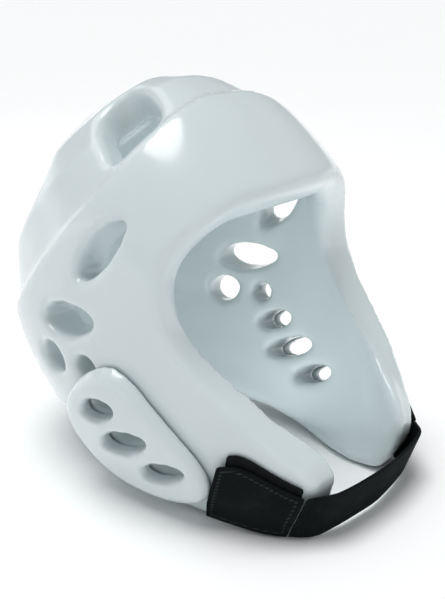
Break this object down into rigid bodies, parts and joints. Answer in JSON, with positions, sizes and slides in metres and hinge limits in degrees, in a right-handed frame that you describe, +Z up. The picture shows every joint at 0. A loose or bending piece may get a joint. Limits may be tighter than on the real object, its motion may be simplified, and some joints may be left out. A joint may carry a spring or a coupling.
{
  "type": "taekwondo headgear",
  "caption": "Open-face sparring headgear of dipped foam with large crown vents, slotted ear pads and an elastic chin strap closed by hook-and-loop tabs.",
  "frame": {"origin": "on the floor under the middle of the whole object, side to side and front to back", "axes": "+X towards the wearer's left, -Y the way the face looks, +Z up"},
  "size_m": [0.2172, 0.2788, 0.244],
  "materials": {
    "dipped_foam": "glossy dipped vinyl skin over foam",
    "elastic_webbing": "woven elastic",
    "loop_fleece": "brushed loop"
  },
  "bodies": {
    "root": {"foam_shell": "dipped_foam", "right_ear_pad": "dipped_foam", "left_ear_pad": "dipped_foam", "chin_strap": "elastic_webbing", "right_closure_tab": "elastic_webbing", "left_closure_tab": "elastic_webbing", "right_loop_patch": "loop_fleece", "left_loop_patch": "loop_fleece"}
  },
  "joints": []
}
